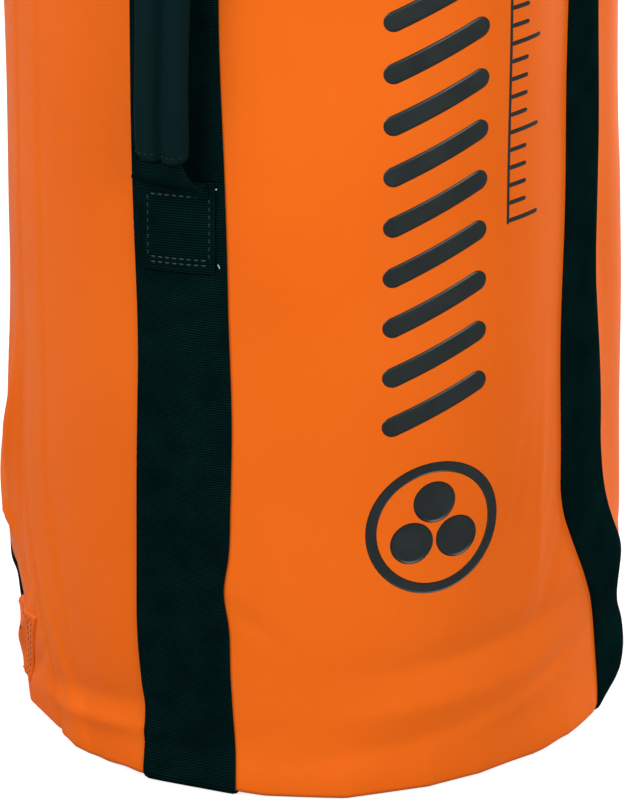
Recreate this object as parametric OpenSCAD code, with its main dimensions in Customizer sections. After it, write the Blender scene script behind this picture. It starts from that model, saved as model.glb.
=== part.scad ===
// Rope storage bag: a welded tarpaulin tube with a flat base, four webbing load straps that
// cross under the base, lifting rings, a side carry handle, an eyeleted mouth and a harness.
// Millimetres, +Z up. The origin is the middle of the base, on the floor.
// Azimuths run from -Y towards +X: 0 is the handle, 225 the harness.

/* [Bag] */
// Outside radius of the tarpaulin tube
bag_r = 150; // [140:1:160]
// Height of the rim above the floor
bag_h = 680; // [660:1:700]
// Thickness of the tarpaulin
tarp_t = 1; // [0.8:0.1:1.2]
// Depth of the folded hem inside the rim
hem_h = 46; // [40:1:60]
// Height of the base panel's welded flange
flange_h = 30; // [20:1:40]

/* [Load straps] */
// Width of the load webbing
strap_w = 50; // [45:1:50]
// Thickness of the load webbing
strap_t = 1.8; // [1.5:0.1:2]
// Wire radius of a lifting ring
ring_wire_r = 2.5; // [2:0.1:2.5]
// Radius of a lifting ring's bow, to the middle of the wire
ring_bow_r = 28.5; // [28:0.5:30]

/* [Carry handle] */
// Width of the handle webbing where it is sewn down
handle_w = 38; // [34:1:40]
// Height of the lower sewn patch's bottom edge
handle_z = 274; // [240:1:290]
// Height of each sewn patch
handle_patch_h = 42; // [38:1:44]
// Height from the lower patch's bottom edge to the upper patch's top edge
handle_span = 314; // [308:1:320]
// Length of the padded sleeve
sleeve_len = 198; // [180:1:200]

/* [Mouth] */
// Number of eyelets round the rim
eyelet_count = 8; // [8:8:8]
// Inside radius of an eyelet
eyelet_r = 5; // [4.5:0.1:5.5]

/* [Harness] */
// Width of a shoulder pad
pad_w = 60; // [50:1:65]
// Thickness of a shoulder pad
pad_t = 10; // [8:1:10]
// Width of the narrow harness webbing
web_w = 25; // [20:1:25]
// Angle of each shoulder pad either side of the harness azimuth
pad_angle = 20; // [19:1:22]

/* [Hidden] */
$fn = 96;

tarp_colour = "darkorange";
web_colour = "#0b1413";
steel_colour = "silver";

gap = 0.1;                                  // between two layers that lie on each other
strap_in_r = bag_r + gap;
strap_out_r = strap_in_r + strap_t;
base_z = 2 * strap_t + 2 * gap;             // underside of the base panel
wall_in_r = bag_r - tarp_t;

// Lifting rings
ring_bar_z = bag_h - 10;
foldback_t = strap_t;
foldback_out_r = strap_out_r + foldback_t;
ring_bar_r = foldback_out_r + 0.35 + ring_wire_r;
loop_in_r = ring_wire_r + 0.3;
loop_out_r = loop_in_r + strap_t;
foldback_h = 26;

// Carry handle
handle_top_z = handle_z + handle_span;
patch_t = 1.6;
patch_r = strap_out_r + gap;
grip_mid_z = (handle_z + handle_top_z) / 2;
grip_r = 170;                               // radius of the grip's middle from the bag's axis
grip_sag = 7;
grip_half = sleeve_len / 2;
grip_bend_r = (grip_half * grip_half + grip_sag * grip_sag) / (2 * grip_sag);
lobe_r = 6.7;
core_w = 18;
core_t = 3;
core_over = 2.5;                            // core length showing past each end of the sleeve
ramp_run = 8;
ramp_rise = 10;

// Mouth
eyelet_z = bag_h - 25;
eyelet_step = 360 / eyelet_count;
barrel_r = eyelet_r + 1;
flange_r = 10;
flange_t = 1.1;
eyelet_out_r = bag_r + 0.05;
hem_in_r = bag_r - 2 * tarp_t - gap;
washer_r = hem_in_r - 1.7;

// Harness
harness_az = 225;
pad_top_z = 605;
pad_low_z = 260;
pad_end_r = 158;
pad_sag = 40;
pad_mid_z = (pad_top_z + pad_low_z) / 2;
pad_half = (pad_top_z - pad_low_z) / 2;
pad_bend_r = (pad_half * pad_half + pad_sag * pad_sag) / (2 * pad_sag);
pad_span = asin(pad_half / pad_bend_r);
pad_centre_y = pad_bend_r * cos(pad_span) - pad_end_r;
pad_tilt = 5.5;
web_t = 1.5;
web_bend_r = pad_bend_r + pad_t / 2 + gap + web_t / 2;
bar_span = pad_span + 2;                    // where the buckle's top bar hangs on the same arc
bar_y = pad_centre_y - web_bend_r * cos(bar_span);
bar_z = pad_mid_z - web_bend_r * sin(bar_span);
buckle_w = 34;
buckle_pitch = 12;
buckle_bar_r = 1.7;
buckle_t = 4;
rail_w = 3.5;
tail_len = 105;
anchor_angle = 78;                          // from the harness azimuth to an anchor patch
anchor_z = 30;
strap_end_angle = 26.8;
strap_end_z = bar_z - 19;
strap_steps = 28;

// ---- helpers ----

// Turns a child modelled on the -Y side to the azimuth a
module at(a) { rotate([0, 0, a]) children(); }

// Points to a position at angle a, radius r, height z
function polar(a, r, z) = [r * sin(a), -r * cos(a), z];

function unit(v) = v / norm(v);
function square_to(v, t) = unit(v - t * (v * t));

// A curved plate on the -Y side, lying on a cylinder of radius r
module wall_patch(r, t, w, z0, z1) {
    a = w / r * 180 / PI;
    translate([0, 0, z0]) rotate([0, 0, -90 - a / 2])
        rotate_extrude(angle = a) translate([r, 0]) square([t, z1 - z0]);
}

module ring_wall(r_in, r_out, z0, z1) {
    translate([0, 0, z0]) difference() {
        cylinder(r = r_out, h = z1 - z0);
        translate([0, 0, -1]) cylinder(r = r_in, h = z1 - z0 + 2);
    }
}

// A cylinder along X through the point [0, y, z]
module bar_x(r, len, y, z) {
    translate([-len / 2, y, z]) rotate([0, 90, 0]) cylinder(r = r, h = len);
}

// A cylinder pointing out of the bag, from radius r0 to r1, at azimuth 0
module radial_bar(r, r0, r1, z) {
    translate([0, -r0, z]) rotate([90, 0, 0]) cylinder(r = r, h = r1 - r0);
}

// A child 2D section, x across and y outward, swept about an X axis through [0, y, z]:
// from low degrees below the level through that axis to high degrees above it
module arc_x(low, high, y, z) {
    translate([0, y, z]) rotate([0, 90, 0]) rotate([0, 0, -90 - high])
        rotate_extrude(angle = low + high) rotate([0, 0, 90]) mirror([0, 1]) children();
}

// A closed solid through a list of rings, each with the same number of points
module loft(rings) {
    n = len(rings[0]);
    m = len(rings);
    polyhedron(
        points = [for (ring = rings) each ring],
        faces = concat(
            [[for (j = [0:n - 1]) j]],
            [[for (j = [n - 1:-1:0]) (m - 1) * n + j]],
            [for (i = [0:m - 2], j = [0:n - 1]) let (k = (j + 1) % n)
                each [[i * n + j, (i + 1) * n + j, (i + 1) * n + k],
                    [i * n + j, (i + 1) * n + k, i * n + k]]]),
        convexity = 6);
}

function tangents(p) = [for (i = [0:len(p) - 1])
    unit(p[min(i + 1, len(p) - 1)] - p[max(i - 1, 0)])];

// A flat strap along the points p, its face turned away from the bag's axis
module ribbon(p, w, t) {
    along = tangents(p);
    loft([for (i = [0:len(p) - 1])
        let (out = square_to([p[i][0], p[i][1], 0], along[i]), side = cross(along[i], out))
        [for (c = [[1, 1], [1, -1], [-1, -1], [-1, 1]])
            p[i] + c[0] * w / 2 * side + c[1] * t / 2 * out]]);
}

// ---- shell ----

module eyelet_holes() {
    for (k = [0:eyelet_count - 1]) at(eyelet_step * (k + 0.5))
        radial_bar(barrel_r + gap, bag_r - 20, bag_r + 10, eyelet_z);
}

module body_wall() {
    overlap_w = 24;
    color(tarp_colour) difference() {
        union() {
            at(1) ring_wall(wall_in_r, bag_r, base_z, bag_h);   // its seam clear of the eyelets
            at(-40.5) wall_patch(bag_r - 0.1, tarp_t, overlap_w, base_z + 4, bag_h - 1);
        }
        eyelet_holes();
    }
}

module base_panel() {
    r = wall_in_r - gap;
    color(tarp_colour) difference() {
        translate([0, 0, base_z]) cylinder(r = r, h = flange_h);
        translate([0, 0, base_z + tarp_t]) cylinder(r = r - tarp_t, h = flange_h);
    }
}

module base_reinforcement() {
    color("dimgray") translate([0, 0, base_z + tarp_t + gap])
        cylinder(r = wall_in_r - tarp_t - 2, h = 3);
}

module rim_hem() {
    color(tarp_colour) difference() {
        ring_wall(hem_in_r, wall_in_r - gap, bag_h - hem_h, bag_h);
        eyelet_holes();
    }
}

// ---- load straps and lifting rings ----

// One leg with its top folded round a ring's bar and sewn back down
module strap_leg() {
    difference() {
        union() {
            wall_patch(strap_in_r, strap_t, strap_w, 0, ring_bar_z + 2);
            wall_patch(strap_out_r - 0.1, foldback_t + 0.1, strap_w,
                ring_bar_z - foldback_h - 2, ring_bar_z - 2);
            bar_x(loop_out_r, strap_w, -ring_bar_r, ring_bar_z);
        }
        bar_x(loop_in_r, strap_w + 4, -ring_bar_r, ring_bar_z);
    }
}

// The run under the base, along Y; it steps over the other strap where over is true
module strap_base_run(over) {
    step = strap_t + gap;
    half = strap_w / 2 + 2;
    ramp = 6;
    outer = [[-strap_out_r, 0], [-half - ramp, 0], [-half, step], [half, step],
        [half + ramp, 0], [strap_out_r, 0]];
    flat = [[-strap_out_r, 0], [strap_out_r, 0]];
    low = over ? outer : flat;
    profile = concat(low, [for (i = [len(low) - 1:-1:0]) low[i] + [0, strap_t]]);
    intersection() {
        translate([-strap_w / 2, 0, 0]) rotate([90, 0, 90]) linear_extrude(strap_w) polygon(profile);
        cylinder(r = strap_out_r, h = base_z);
    }
}

module load_strap_front_back() {
    color(web_colour) {
        for (a = [0, 180]) at(a) strap_leg();
        strap_base_run(true);
    }
}

module load_strap_left_right() {
    color(web_colour) at(90) {
        for (a = [0, 180]) at(a) strap_leg();
        strap_base_run(false);
    }
}

module lift_ring() {
    color(steel_colour) translate([0, -ring_bar_r, ring_bar_z]) {
        bar_x(ring_wire_r, 2 * ring_bow_r, 0, 0);
        for (s = [-1, 1]) translate([s * ring_bow_r, 0, 0]) sphere(r = ring_wire_r);
        rotate([90, 0, 0]) rotate([0, 0, 180])
            rotate_extrude(angle = 180) translate([ring_bow_r, 0]) circle(r = ring_wire_r);
    }
}

// ---- carry handle ----

// A sewn patch with the webbing rising off its top edge towards the grip
module handle_anchor() {
    run = handle_w / 2;
    z = handle_z + handle_patch_h;
    color(web_colour) {
        wall_patch(patch_r, patch_t, handle_w, handle_z, z);
        translate([-run + 3, 0, 0]) rotate([90, 0, 90]) linear_extrude(2 * run - 6)
            polygon([[-patch_r - 0.3, z - 3], [-patch_r - patch_t, z - 4],
                [-patch_r - ramp_rise, z + ramp_run], [-patch_r - ramp_rise + 1, z + ramp_run + 0.9]]);
    }
}

module handle_anchor_upper() {
    translate([0, 0, 2 * grip_mid_z]) mirror([0, 0, 1]) handle_anchor();
}

module core_section(extra) {
    square([core_w + 2 * extra, core_t + 2 * extra], center = true);
}

module handle_core() {
    span = asin((grip_half + core_over) / grip_bend_r);
    color(web_colour) arc_x(span, span, grip_bend_r - grip_r, grip_mid_z)
        translate([0, grip_bend_r]) core_section(0);
}

module handle_sleeve() {
    span = asin(grip_half / grip_bend_r);
    color("#12201f") arc_x(span, span, grip_bend_r - grip_r, grip_mid_z)
        translate([0, grip_bend_r]) difference() {
            union() {
                for (s = [-1, 1]) translate([s * lobe_r, 0]) circle(r = lobe_r);
                square([2 * lobe_r, core_t + 2.6], center = true);
            }
            core_section(0.2);
        }
}

// ---- mouth ----

module eyelets() {
    color(steel_colour) for (k = [0:eyelet_count - 1]) at(eyelet_step * (k + 0.5)) difference() {
        union() {
            radial_bar(barrel_r, washer_r, eyelet_out_r + flange_t, eyelet_z);
            radial_bar(flange_r, eyelet_out_r, eyelet_out_r + flange_t, eyelet_z);
        }
        radial_bar(eyelet_r, washer_r - 1, eyelet_out_r + flange_t + 1, eyelet_z);
    }
}

module eyelet_washers() {
    color(steel_colour) for (k = [0:eyelet_count - 1]) at(eyelet_step * (k + 0.5)) difference() {
        radial_bar(flange_r, washer_r, washer_r + flange_t, eyelet_z);
        radial_bar(barrel_r + gap, washer_r - 1, washer_r + flange_t + 1, eyelet_z);
    }
}

// ---- harness ----

// Puts a child modelled on the -Y side in one shoulder strap's place; side is 1 left, -1 right
module pad_place(side) {
    at(harness_az + side * pad_angle) translate([0, 0, pad_mid_z])
        rotate([0, -side * pad_tilt, 0]) translate([0, 0, -pad_mid_z]) children();
}

module harness_yoke() {
    color(web_colour) at(harness_az) wall_patch(strap_in_r, 2.6, 150, pad_top_z - 35, pad_top_z + 12);
}

module shoulder_pad(side) {
    color("#141b1b") pad_place(side) arc_x(pad_span, pad_span, pad_centre_y, pad_mid_z)
        translate([0, pad_bend_r]) square([pad_w, pad_t], center = true);
}

// Webbing along the pad's face, ending in a loop round the buckle's top bar
module pad_webbing(side) {
    loop_r = buckle_bar_r + 0.3;
    into_loop = 0.4;                        // the arc stops this many degrees short of the bar
    color(web_colour) pad_place(side) {
        arc_x(bar_span - into_loop, pad_span, pad_centre_y, pad_mid_z)
            translate([0, web_bend_r]) square([web_w, web_t], center = true);
        difference() {
            bar_x(loop_r + web_t, web_w - 1, bar_y, bar_z);
            bar_x(loop_r, web_w + 2, bar_y, bar_z);
        }
    }
}

module ladder_lock(side) {
    h = 2 * buckle_pitch;
    color("#161a1a") pad_place(side) {
        for (k = [0:2]) bar_x(buckle_bar_r, buckle_w - 2, bar_y, bar_z - k * buckle_pitch);
        for (s = [-1, 1]) translate([s * (buckle_w - rail_w) / 2, bar_y, bar_z - h / 2])
            cube([rail_w, buckle_t, h + 5], center = true);
    }
}

// Webbing turned round the buckle's middle bar, with its free end hanging in front
module adjuster_tail(side) {
    r_in = buckle_bar_r + 0.2;
    z = bar_z - buckle_pitch;
    y_front = bar_y - buckle_bar_r - 0.5;
    color(web_colour) pad_place(side) difference() {
        union() {
            bar_x(r_in + web_t, web_w, bar_y, z);
            translate([-web_w / 2, 0, 0]) rotate([90, 0, 90]) linear_extrude(web_w) polygon([
                [bar_y - r_in - web_t, z], [bar_y - r_in, z], [y_front - 1, z - 12],
                [y_front - 6, z - tail_len], [y_front - 6 - web_t, z - tail_len],
                [y_front - 1 - web_t, z - 12]]);
        }
        bar_x(r_in, web_w + 2, bar_y, z);
    }
}

// The strap's route over the wall, from its anchor patch up to the buckle; u runs from 0 to 1
function strap_point(side, u) = polar(
    harness_az + side * (anchor_angle - (anchor_angle - strap_end_angle) * (1 - pow(1 - u, 2))),
    bag_r + 2.6 + 1.1 * (1 - pow(1 - u, 4)),
    anchor_z + (strap_end_z - anchor_z) * u);

module adjuster_strap(side) {
    color(web_colour)
        ribbon([for (i = [0:strap_steps]) strap_point(side, i / strap_steps)], web_w, web_t);
}

// A triangle of tarpaulin welded over the strap's lower end
module anchor_patch(side) {
    w = 62;
    color(tarp_colour) intersection() {
        at(harness_az + side * anchor_angle) wall_patch(strap_in_r, 1.2, w, 6, 66);
        at(harness_az + side * anchor_angle) translate([0, -bag_r + 30, 0]) rotate([90, 0, 0])
            linear_extrude(60) polygon([[side * 28, 6], [side * -26, 6], [side * -30, 60], [side * -16, 66]]);
    }
}

// Webbing loop sewn inside the wall, for the rope's end
module rope_tie_loop() {
    color(web_colour) intersection() {
        translate([0, wall_in_r, 0]) ring_wall(20.5, 22, 100, 120);
        cylinder(r = wall_in_r - gap, h = 200);
    }
}

// ---- nodes ----

body_wall();
base_panel();
base_reinforcement();
rim_hem();
load_strap_front_back();
load_strap_left_right();
at(0) lift_ring();  // lift_ring_front
at(90) lift_ring();  // lift_ring_right
at(180) lift_ring();  // lift_ring_back
at(270) lift_ring();  // lift_ring_left
handle_anchor();  // handle_anchor_lower
handle_anchor_upper();
handle_core();
handle_sleeve();
eyelets();
eyelet_washers();
harness_yoke();
shoulder_pad(1);  // shoulder_pad_left
shoulder_pad(-1);  // shoulder_pad_right
pad_webbing(1);  // pad_webbing_left
pad_webbing(-1);  // pad_webbing_right
ladder_lock(1);  // ladder_lock_left
ladder_lock(-1);  // ladder_lock_right
adjuster_strap(1);  // adjuster_strap_left
adjuster_strap(-1);  // adjuster_strap_right
adjuster_tail(1);  // adjuster_tail_left
adjuster_tail(-1);  // adjuster_tail_right
anchor_patch(1);  // anchor_patch_left
anchor_patch(-1);  // anchor_patch_right
rope_tie_loop();
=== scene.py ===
"""Rope storage bag: the visual model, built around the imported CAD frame.

Shapes are worked out in millimetres, in the frame's own axes, and become metres in add_mesh.
Azimuths are in degrees from -Y towards +X, as in the CAD model: 0 is the handle, 225 the harness.
"""
import math

import bpy
import bmesh
import numpy as np
from mathutils import Matrix, Vector


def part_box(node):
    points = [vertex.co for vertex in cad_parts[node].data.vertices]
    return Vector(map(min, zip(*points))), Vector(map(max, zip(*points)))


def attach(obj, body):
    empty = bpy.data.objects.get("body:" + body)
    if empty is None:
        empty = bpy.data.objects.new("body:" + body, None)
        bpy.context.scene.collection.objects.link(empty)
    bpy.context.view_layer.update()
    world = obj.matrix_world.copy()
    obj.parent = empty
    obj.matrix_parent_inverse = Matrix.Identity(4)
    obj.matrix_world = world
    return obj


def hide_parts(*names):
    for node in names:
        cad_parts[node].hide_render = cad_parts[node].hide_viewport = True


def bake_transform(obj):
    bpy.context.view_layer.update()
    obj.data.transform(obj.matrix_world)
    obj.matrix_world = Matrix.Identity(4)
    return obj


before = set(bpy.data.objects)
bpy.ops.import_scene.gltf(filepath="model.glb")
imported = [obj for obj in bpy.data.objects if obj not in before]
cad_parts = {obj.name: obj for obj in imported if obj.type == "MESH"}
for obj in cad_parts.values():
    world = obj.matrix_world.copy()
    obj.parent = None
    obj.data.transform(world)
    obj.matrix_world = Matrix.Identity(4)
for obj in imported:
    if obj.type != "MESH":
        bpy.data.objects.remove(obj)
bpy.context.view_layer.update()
MM = 0.001

# ---- sizes, in millimetres ----

BAG_R = 150.0
RIM_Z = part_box("body_wall")[1].z / MM
TARP = 1.0
HEM_DEPTH = RIM_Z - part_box("rim_hem")[0].z / MM
EDGE_R = 3.5                         # rounding between wall and base
WALL_FOOT = 2.0                      # underside of the wall, on top of one layer of webbing
FOOT_SAG = 1.7                       # how far the wall sags between the straps
EDGE_Z = WALL_FOOT + EDGE_R
EDGE_ARC = EDGE_R * math.pi / 2

SEAM_AZ = -45.0

STRAP_W = 50.0
STRAP_T = 1.8
RIB_PITCH = 1.3
RING_Z = RIM_Z - 10.0
RING_BAR_R = -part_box("lift_ring_front")[0].y / MM - 2.5

HARNESS_AZ = 225.0
EYELET_Z = RIM_Z - 25.0
EYELET_AZ = [22.5 + 45.0 * k for k in range(8)]
EYELET_HOLE_R = 6.05


# ---- small maths ----

def smooth(x, low, high):
    """0 below low, 1 above high, and an even curve between."""
    t = np.clip((np.asarray(x, float) - low) / (high - low), 0.0, 1.0)
    return t * t * (3 - 2 * t)


def bell(x, centre, width):
    return np.exp(-(((np.asarray(x, float) - centre) / width) ** 2))


def turn(a):
    """An angle brought into -180 to 180."""
    return (np.asarray(a, float) + 180.0) % 360.0 - 180.0


def polar(az, r, z):
    a = np.radians(az)
    return np.stack(np.broadcast_arrays(r * np.sin(a), -r * np.cos(a), z), -1)


def unit(v):
    return v / np.maximum(np.linalg.norm(v, axis=-1, keepdims=True), 1e-9)


# ---- the bag's surface ----

RNG = np.random.default_rng(7)
WAVES = [(RNG.integers(2, 7), RNG.uniform(90, 260), RNG.uniform(0, 6.28), RNG.uniform(0, 6.28))
         for _ in range(9)]


def creases(az, z):
    """Ridges and valleys where the tarpaulin has been folded: (azimuth, height, lean, length,
    width, depth) each. A positive lean tips the fold's top towards larger azimuths."""
    folds = [
        # left side, where the harness strap pulls on the wall
        (-52.5, 145, 0.08, 48, 4.5, 4.0), (-47.5, 140, 0.0, 60, 4.0, -2.6), (-57, 172, -0.3, 40, 7, 2.2),
        (-54, 96, -0.75, 28, 4.5, 3.6), (-48, 78, -0.55, 30, 4.0, -2.8), (-61, 66, -0.4, 16, 6, 1.8),
        (-60, 44, 0.1, 15, 7, -3.2), (-49, 38, 0.62, 26, 4.5, 2.8), (-43, 24, 0.75, 22, 4.5, -2.0),
        (-33, 58, -0.4, 40, 4.5, 1.8), (-29, 44, -0.5, 40, 7, -1.4), (-22, 21, 1.45, 44, 4.5, 2.5),
        (-20, 34, 1.4, 46, 7, -1.6), (-30, 90, -0.12, 60, 12, -1.0), (-17, 60, 0.15, 60, 10, 0.6),
        # front panel, low down and near the strap
        (9.6, 110, 0.0, 16, 5.5, 2.0), (14, 92, -0.9, 20, 4.0, -0.7), (24, 40, 1.2, 60, 12, -0.8),
        (60, 70, 1.5, 62, 9, -2.0), (50, 46, 1.5, 70, 9, 1.5), (40, 26, 1.45, 60, 7, -0.9),
        (71, 104, 0.35, 34, 6, 1.2), (76, 92, 0.5, 26, 5, -1.2), (66, 140, 0.15, 44, 6, -0.9),
        (73, 150, 0.05, 50, 4, 1.1), (68, 33, 1.35, 30, 5, 1.1), (78, 46, 1.2, 20, 5, -1.5),
        # back and far side
        (135, 120, 0.6, 60, 12, -1.8), (150, 60, -0.8, 40, 9, 1.8), (205, 70, 0.9, 50, 10, -1.8),
        (240, 110, -0.5, 60, 10, 1.8), (250, 50, 0.7, 40, 8, -2.0), (118, 60, -0.6, 36, 8, -1.6),
        (200, 380, 0.9, 70, 16, -1.4), (238, 470, -0.7, 80, 16, 1.3), (120, 420, 0.5, 90, 18, 1.2),
        (160, 230, -0.7, 80, 14, -1.4), (142, 330, 0.8, 70, 12, 1.2), (218, 200, 0.5, 80, 14, 1.3),
        (30, 500, 0.3, 90, 20, -1.0), (-30, 520, -0.4, 90, 18, 1.0), (-68, 470, 0.3, 90, 14, -1.4),
    ]
    out = np.zeros(np.broadcast(az, z).shape)
    for a0, z0, lean, length, width, depth in folds:
        across = np.radians(turn(az - a0)) * BAG_R
        up = z - z0
        along = up * math.cos(lean) + across * math.sin(lean)
        side = across * math.cos(lean) - up * math.sin(lean)
        sharp = np.sqrt(1 + (side / width) ** 2 * 3)
        out = out + depth * np.exp(-((along / length) ** 2)) * np.exp(1 - sharp)
    return out


CORNERS = np.array([-180, -158, -136, -120, -104, -84, -64, -45, -24.6, -8, 12, 31, 47, 58, 71, 80, 90,
                    110, 131, 152, 180.0])


def flats(az):
    """The base's outline is stiff and takes up corners: how far it falls inside the circle."""
    k = np.clip(np.searchsorted(CORNERS, turn(az), side="right") - 1, 0, len(CORNERS) - 2)
    mid, half = (CORNERS[k] + CORNERS[k + 1]) / 2, (CORNERS[k + 1] - CORNERS[k]) / 2
    sag = BAG_R * (1 - np.cos(np.radians(half)))
    return -sag * (1 - ((turn(az) - mid) / half) ** 2)


def seam_shift(z):
    """How far the welded seam leans towards the front at height z, in degrees."""
    return 15.5 * np.clip((150 - np.asarray(z, float)) / 150, 0, 1) ** 1.5


# where the wall swells (or, below zero, is drawn in): amount, azimuth, half width, height, half height
SWELLS = [
    # beside the right strap
    (2.4, 117, 12, 105, 75), (4.4, 104, 11, 20, 20), (2.6, 100, 11, 76, 15),
    # left side: a swell above the harness anchor, and the wall drawn in at it
    (6.3, -67, 17, 112, 42), (-1.5, -64, 20, 188, 40), (-6.8, -63, 14, 29, 31),
    # the base's welded edge bulges outwards in three places at the front
    (5.0, -8, 22, 0, 21), (3.4, 28, 18, 0, 21), (3.6, 83, 11, 0, 21),
]


def wall_radius(az, z):
    """Outside radius of the tarpaulin."""
    az, z = np.broadcast_arrays(np.asarray(az, float), np.asarray(z, float))
    at = turn(az)
    r = np.full(az.shape, BAG_R)
    body = smooth(z, 0, 55)
    mouth = 1 - smooth(z, RIM_Z - 130, RIM_Z - 40)
    # panels swell between the load straps
    r += 1.3 * body * mouth * (0.5 - 0.5 * np.cos(np.radians(4 * az)))
    for n, length, p, q in WAVES:
        r += 0.22 * body * mouth * np.cos(n * np.radians(az) + p) * np.cos(2 * math.pi * z / length + q)
    # the right strap sits in a valley with its far edge pulled in
    deep = 5.0 + 5.5 * smooth(z, 150, 260) + 2.0 * smooth(z, 300, 400)
    r -= deep * bell(at, 101, 8.0) * smooth(z, 78, 150) * mouth
    r -= 4.6 * bell(at, 80, 9) * smooth(z, 75, 140) * mouth
    r -= 4.6 * bell(at, 120, 17) * smooth(z, 250, 380) * mouth
    for amount, a0, width, z0, height in SWELLS:
        r += amount * bell(at, a0, width) * bell(z, z0, height)
    # the base's welded edge stands out a little, and is cornered
    r += 1.6 * bell(z, 6, 16)
    r += flats(az) * (1 - smooth(z, 6, 34))
    r += creases(az, z) * smooth(z, 2, 22) * mouth
    # the overlap's second layer, with a lip and a shadow line beside it
    s = turn(az - SEAM_AZ - seam_shift(z))
    r += 0.9 * smooth(s, 0.0, 0.30) * (1 - smooth(s, 8.6, 10.2))
    r += 0.8 * bell(s, 0.45, 0.35) - 1.3 * bell(s, -1.4, 1.3)
    return r


def foot(az):
    """Height of the wall's lowest point: on the webbing at each strap, sagging between them."""
    near = np.abs(turn(np.asarray(az, float) * 4) / 4)
    return WALL_FOOT - FOOT_SAG * smooth(near, 11.0, 17.0)


def wall(az, s, off=0.0):
    """Points on the bag: s is the height, and below EDGE_Z the way on round the edge and under the base."""
    az, s = np.broadcast_arrays(np.asarray(az, float), np.asarray(s, float))
    phi = np.clip((EDGE_Z - s) / EDGE_R, 0, math.pi / 2)
    under = np.maximum(0, EDGE_Z - s - EDGE_ARC)
    height = np.where(s > EDGE_Z, s, EDGE_Z - EDGE_R * np.sin(phi))
    height = height - (WALL_FOOT - foot(az)) * (1 - smooth(s, EDGE_Z, EDGE_Z + 14))
    r = wall_radius(az, height) - EDGE_R * (1 - np.cos(phi)) - under + off * np.cos(phi)
    return polar(az, r, height - off * np.sin(phi))


def strap_edges(az0, s):
    """Where a load strap's two edges lie at s, in mm either side of its azimuth."""
    half = STRAP_W / 2
    if az0 == 0:
        left = 0.5 + 2.6 * bell(s, 232, 55) + 6.6 * (1 - smooth(s, -4, 90))
        right = -3.4 * smooth(s, 265, 400) + 1.6 * bell(s, 195, 50) - 2.6 * bell(s, 108, 14)
        right = right + 4.0 * (1 - smooth(s, -4, 75))
    elif az0 == 90:
        left = 0.8 - 1.5 * bell(s, 215, 60) + 31.0 * (1 - smooth(s, 38, 138))
        right = 27.0 * (1 - smooth(s, 44, 126)) - 10.0 * bell(s, 48, 12)
    else:
        left = 1.5 * np.sin(s / 70.0)
        right = left
    return -half + left, half + right


def strap_point(az0, across, s, off):
    """A point on the load strap at az0: across from -1 to 1, s as for wall()."""
    left, right = strap_edges(az0, s)
    x = (left + right) / 2 + across * (right - left) / 2
    flat = smooth(s, EDGE_Z - EDGE_ARC, EDGE_Z - EDGE_ARC + 7)[..., None]
    round_p = wall(az0 + np.degrees(x / BAG_R), s, off)
    mid = wall(az0 + 0 * x, s, off)
    a = math.radians(az0)
    side = np.array([math.cos(a), math.sin(a), 0.0])
    out = np.array([math.sin(a), -math.cos(a), 0.0])
    reach = np.sum(round_p * out, -1)[..., None]
    flat_p = mid + x[..., None] * side + (reach - np.sum(mid * out, -1)[..., None]) * out
    return round_p * flat + flat_p * (1 - flat)


# ---- meshes ----

def add_mesh(name, points, faces, uv=None, material=None, shade=True):
    """A mesh object from points in mm; uv holds one pair for each point."""
    me = bpy.data.meshes.new(name)
    pts = np.asarray(points, float).reshape(-1, 3) * MM
    me.from_pydata(pts.tolist(), [], [tuple(int(i) for i in f) for f in faces])
    if uv is not None:
        layer = me.uv_layers.new(name="UVMap")
        idx = np.zeros(len(me.loops), np.int32)
        me.loops.foreach_get("vertex_index", idx)
        layer.data.foreach_set("uv", np.asarray(uv, float).reshape(-1, 2)[idx].ravel())
    me.validate()
    if shade:
        me.polygons.foreach_set("use_smooth", [True] * len(me.polygons))
    ob = bpy.data.objects.new(name, me)
    bpy.context.scene.collection.objects.link(ob)
    if material:
        me.materials.append(material)
    return ob


def grid_faces(nv, nu, first=0, close_u=False, flip=False):
    v, u = np.meshgrid(np.arange(nv - 1), np.arange(nu if close_u else nu - 1), indexing="ij")
    w = (u + 1) % nu
    q = np.stack([v * nu + u, v * nu + w, (v + 1) * nu + w, (v + 1) * nu + u], -1).reshape(-1, 4) + first
    return q[:, ::-1] if flip else q


def loop_faces(nv, nu):
    """Faces of a grid whose rows and columns both close on themselves."""
    i = np.arange(nu)
    j = (i + 1) % nu
    last = (nv - 1) * nu
    return np.concatenate([grid_faces(nv, nu, close_u=True), np.stack([last + i, last + j, j, i], -1)])


def slab(name, outer, inner, uv=None, material=None):
    """A closed plate between two grids of points, each (rows, columns, 3)."""
    nv, nu = outer.shape[:2]
    n = nv * nu
    faces = [grid_faces(nv, nu), grid_faces(nv, nu, n, flip=True)]
    idx = np.arange(n).reshape(nv, nu)
    loop = np.concatenate([idx[0, :-1], idx[:-1, -1], idx[-1, :0:-1], idx[:0:-1, 0]])
    nxt = np.roll(loop, -1)
    faces.append(np.stack([nxt, loop, loop + n, nxt + n], -1))
    pts = np.concatenate([outer.reshape(-1, 3), inner.reshape(-1, 3)])
    if uv is not None:
        uv = np.concatenate([uv.reshape(-1, 2)] * 2)
    return add_mesh(name, pts, np.concatenate(faces), uv, material)


def join(name, objects):
    bpy.ops.object.select_all(action="DESELECT")
    for o in objects:
        o.select_set(True)
    bpy.context.view_layer.objects.active = objects[0]
    bpy.ops.object.join()
    objects[0].name = name
    objects[0].data.name = name
    return objects[0]


def place(ob, body, replaces=()):
    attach(ob, body)
    if replaces:
        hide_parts(*replaces)
    return ob


def rib(v, amount=0.16):
    """The height of the woven ribs at v mm along a webbing."""
    return amount * np.abs(np.sin(np.pi * v / RIB_PITCH)) - amount


def edge_round(u, depth=0.55):
    """How far a webbing's face falls away towards its two edges, u from -1 to 1."""
    return -depth * smooth(np.abs(u), 0.93, 1.0)


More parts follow.
